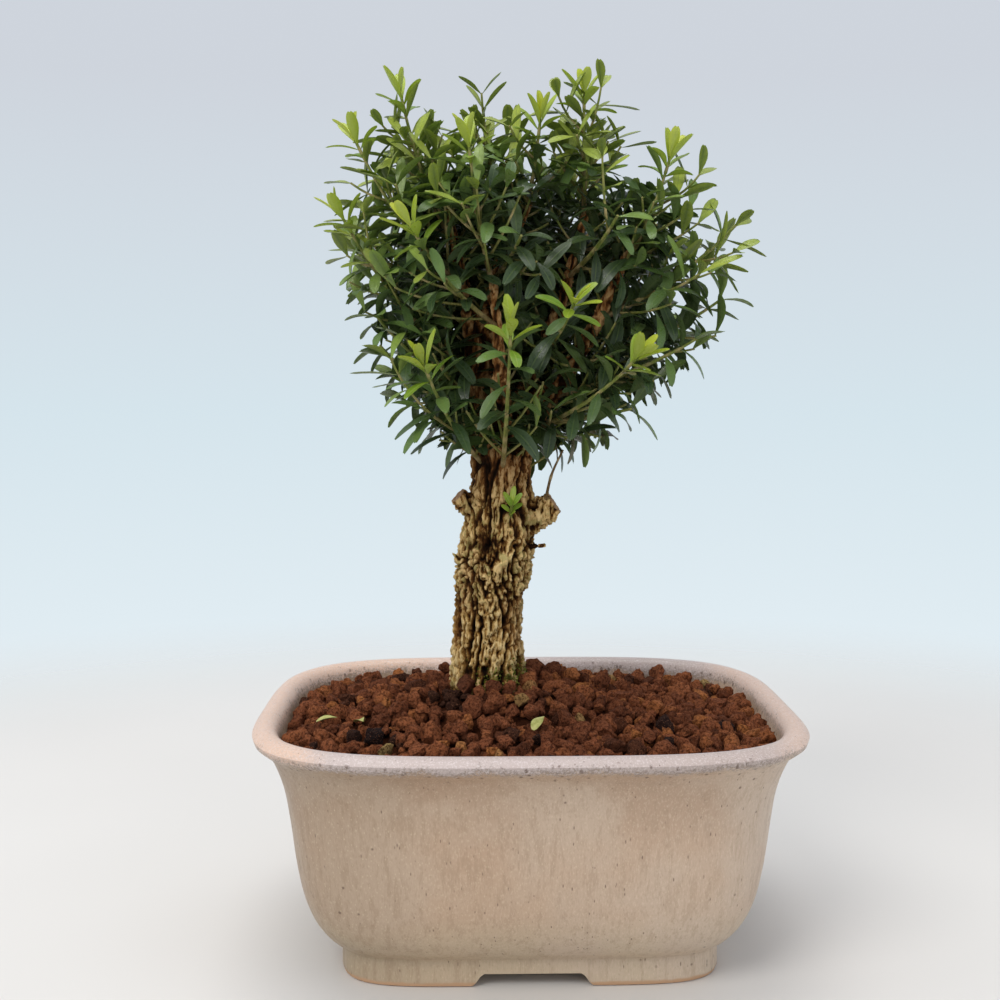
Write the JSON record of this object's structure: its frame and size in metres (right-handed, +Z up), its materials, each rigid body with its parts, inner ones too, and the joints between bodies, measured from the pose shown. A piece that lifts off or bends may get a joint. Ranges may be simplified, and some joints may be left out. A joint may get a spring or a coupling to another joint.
{
  "type": "harland boxwood bonsai",
  "caption": "Miniature cork-barked boxwood tree with a fan-shaped leafy crown, standing in gritty soil in a glazed round-cornered rectangular pot.",
  "frame": {"origin": "on the ground under the middle of the pot", "axes": "+Z up, -Y to the front of the tree, +X to the viewer's right as seen from the front"},
  "size_m": [0.1658, 0.142, 0.2687],
  "materials": {
    "glazed_stoneware": "satin warm grey glaze with fine runs and brown specks, paler pinkish lip",
    "soil_grains": "rough reddish-brown clay and lava grains",
    "cork_bark": "deeply fissured ochre cork bark with greenish lichen",
    "dead_wood": "dry bare twig",
    "leaf_green": "dark glossy green leaves on olive twigs",
    "new_leaf": "bright yellow-green new leaves, satin",
    "fallen_leaf": "dry pale fallen leaves",
    "drain_mesh": "black plastic mesh"
  },
  "bodies": {
    "root": {"bare_twig": "dead_wood", "drain_screen_1": "drain_mesh", "drain_screen_2": "drain_mesh", "fallen_leaf_1": "fallen_leaf", "fallen_leaf_2": "fallen_leaf", "fallen_leaf_3": "fallen_leaf", "new_growth_01": "new_leaf", "new_growth_02": "new_leaf", "new_growth_03": "new_leaf", "new_growth_06": "new_leaf", "new_growth_07": "new_leaf", "new_growth_08": "new_leaf", "new_growth_09": "new_leaf", "new_growth_10": "new_leaf", "new_growth_14": "new_leaf", "new_growth_16": "new_leaf", "new_growth_18": "new_leaf", "new_growth_20": "new_leaf", "pot": "glazed_stoneware", "shoot_01": "leaf_green", "shoot_02": "leaf_green", "shoot_03": "leaf_green", "shoot_04": "leaf_green", "shoot_05": "leaf_green", "shoot_06": "leaf_green", "shoot_07": "leaf_green", "shoot_08": "leaf_green", "shoot_09": "leaf_green", "shoot_10": "leaf_green", "shoot_11": "leaf_green", "shoot_12": "leaf_green", "shoot_13": "leaf_green", "shoot_14": "leaf_green", "shoot_15": "leaf_green", "shoot_16": "leaf_green", "shoot_17": "leaf_green", "shoot_18": "leaf_green", "shoot_19": "leaf_green", "shoot_20": "leaf_green", "shoot_21": "leaf_green", "shoot_22": "leaf_green", "shoot_23": "leaf_green", "shoot_24": "leaf_green", "shoot_25": "leaf_green", "shoot_26": "leaf_green", "shoot_27": "leaf_green", "shoot_28": "leaf_green", "shoot_29": "leaf_green", "shoot_30": "leaf_green", "shoot_31": "leaf_green", "shoot_32": "leaf_green", "shoot_33": "leaf_green", "shoot_34": "leaf_green", "soil": "soil_grains", "trunk": "cork_bark", "trunk_sprout": "new_leaf"}
  },
  "joints": []
}
